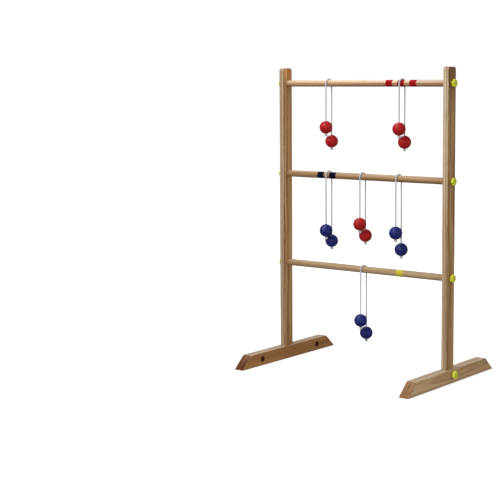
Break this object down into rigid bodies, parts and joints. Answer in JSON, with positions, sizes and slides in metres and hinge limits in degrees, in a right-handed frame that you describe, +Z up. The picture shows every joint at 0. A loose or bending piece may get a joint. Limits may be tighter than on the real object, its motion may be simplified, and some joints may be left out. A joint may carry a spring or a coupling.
{
  "type": "ladder toss frame",
  "caption": "Wooden ladder toss frame: dowel rungs knobbed between two uprights on sloped-end board feet, with bolas on cords hanging from the rungs.",
  "frame": {"origin": "on the floor, under the middle of the frame", "axes": "+X along the rungs to the right, +Y to the back, +Z up"},
  "size_m": [0.7006, 0.5278, 0.994],
  "materials": {
    "upright_wood": "oiled light hardwood, straight grain, satin",
    "rung_wood": "oiled dowel with painted scoring bands, satin",
    "foot_wood": "oiled hardwood, darker end grain, satin",
    "knob_plastic": "moulded yellow-green plastic",
    "screw_steel": "zinc-plated steel",
    "insert_brass": "plain brass",
    "ball_red": "semi-gloss moulded ball",
    "ball_blue": "semi-gloss moulded ball",
    "cord": "white braided cord"
  },
  "bodies": {
    "frame": {"bottom_rung": "rung_wood", "middle_rung": "rung_wood", "top_rung": "rung_wood", "left_upright": "upright_wood", "left_foot_outer_board": "foot_wood", "left_foot_inner_board": "foot_wood", "left_foot_screw_front": "screw_steel", "left_foot_screw_back": "screw_steel", "left_top_insert": "insert_brass", "left_middle_insert": "insert_brass", "left_bottom_insert": "insert_brass", "left_foot_insert": "insert_brass", "right_upright": "upright_wood", "right_foot_outer_board": "foot_wood", "right_foot_inner_board": "foot_wood", "right_foot_screw_front": "screw_steel", "right_foot_screw_back": "screw_steel", "right_top_insert": "insert_brass", "right_middle_insert": "insert_brass", "right_bottom_insert": "insert_brass", "right_foot_insert": "insert_brass"},
    "left_top_knob_turning": {"left_top_knob": "knob_plastic"},
    "left_middle_knob_turning": {"left_middle_knob": "knob_plastic"},
    "left_bottom_knob_turning": {"left_bottom_knob": "knob_plastic"},
    "left_foot_knob_turning": {"left_foot_knob": "knob_plastic"},
    "right_top_knob_turning": {"right_top_knob": "knob_plastic"},
    "right_middle_knob_turning": {"right_middle_knob": "knob_plastic"},
    "right_bottom_knob_turning": {"right_bottom_knob": "knob_plastic"},
    "right_foot_knob_turning": {"right_foot_knob": "knob_plastic"},
    "bola_top_left": {"bola_top_left_cord": "cord", "bola_top_left_front_ball": "ball_red", "bola_top_left_back_ball": "ball_red"},
    "bola_top_right": {"bola_top_right_cord": "cord", "bola_top_right_front_ball": "ball_red", "bola_top_right_back_ball": "ball_red"},
    "bola_middle_left": {"bola_middle_left_cord": "cord", "bola_middle_left_front_ball": "ball_blue", "bola_middle_left_back_ball": "ball_blue"},
    "bola_middle_centre": {"bola_middle_centre_cord": "cord", "bola_middle_centre_front_ball": "ball_red", "bola_middle_centre_back_ball": "ball_red"},
    "bola_middle_right": {"bola_middle_right_cord": "cord", "bola_middle_right_front_ball": "ball_blue", "bola_middle_right_back_ball": "ball_blue"},
    "bola_bottom_centre": {"bola_bottom_centre_cord": "cord", "bola_bottom_centre_front_ball": "ball_blue", "bola_bottom_centre_back_ball": "ball_blue"}
  },
  "joints": [
    {"name": "left_top_knob_turn", "type": "hinge", "parent": "frame", "child": "left_top_knob_turning", "pos_m": [-0.3273, 0, 0.943], "axis": [-1, 0, 0], "continuous": true},
    {"name": "left_middle_knob_turn", "type": "hinge", "parent": "frame", "child": "left_middle_knob_turning", "pos_m": [-0.3273, 0, 0.638], "axis": [-1, 0, 0], "continuous": true},
    {"name": "left_bottom_knob_turn", "type": "hinge", "parent": "frame", "child": "left_bottom_knob_turning", "pos_m": [-0.3273, 0, 0.333], "axis": [-1, 0, 0], "continuous": true},
    {"name": "left_foot_knob_turn", "type": "hinge", "parent": "frame", "child": "left_foot_knob_turning", "pos_m": [-0.3373, 0, 0.027], "axis": [-1, 0, 0], "continuous": true},
    {"name": "right_top_knob_turn", "type": "hinge", "parent": "frame", "child": "right_top_knob_turning", "pos_m": [0.3273, 0, 0.943], "axis": [1, 0, 0], "continuous": true},
    {"name": "right_middle_knob_turn", "type": "hinge", "parent": "frame", "child": "right_middle_knob_turning", "pos_m": [0.3273, 0, 0.638], "axis": [1, 0, 0], "continuous": true},
    {"name": "right_bottom_knob_turn", "type": "hinge", "parent": "frame", "child": "right_bottom_knob_turning", "pos_m": [0.3273, 0, 0.333], "axis": [1, 0, 0], "continuous": true},
    {"name": "right_foot_knob_turn", "type": "hinge", "parent": "frame", "child": "right_foot_knob_turning", "pos_m": [0.3373, 0, 0.027], "axis": [1, 0, 0], "continuous": true},
    {"name": "bola_top_left_swing", "type": "hinge", "parent": "frame", "child": "bola_top_left", "pos_m": [-0.139, 0, 0.943], "axis": [1, 0, 0], "range_deg": [-60, 60]},
    {"name": "bola_top_right_swing", "type": "hinge", "parent": "frame", "child": "bola_top_right", "pos_m": [0.145, 0, 0.943], "axis": [1, 0, 0], "range_deg": [-60, 60]},
    {"name": "bola_middle_left_swing", "type": "hinge", "parent": "frame", "child": "bola_middle_left", "pos_m": [-0.139, 0, 0.638], "axis": [1, 0, 0], "range_deg": [-60, 60]},
    {"name": "bola_middle_centre_swing", "type": "hinge", "parent": "frame", "child": "bola_middle_centre", "pos_m": [-0.004, 0, 0.638], "axis": [1, 0, 0], "range_deg": [-60, 60]},
    {"name": "bola_middle_right_swing", "type": "hinge", "parent": "frame", "child": "bola_middle_right", "pos_m": [0.134, 0, 0.638], "axis": [1, 0, 0], "range_deg": [-60, 60]},
    {"name": "bola_bottom_centre_swing", "type": "hinge", "parent": "frame", "child": "bola_bottom_centre", "pos_m": [0, 0, 0.333], "axis": [1, 0, 0], "range_deg": [-60, 60]}
  ]
}
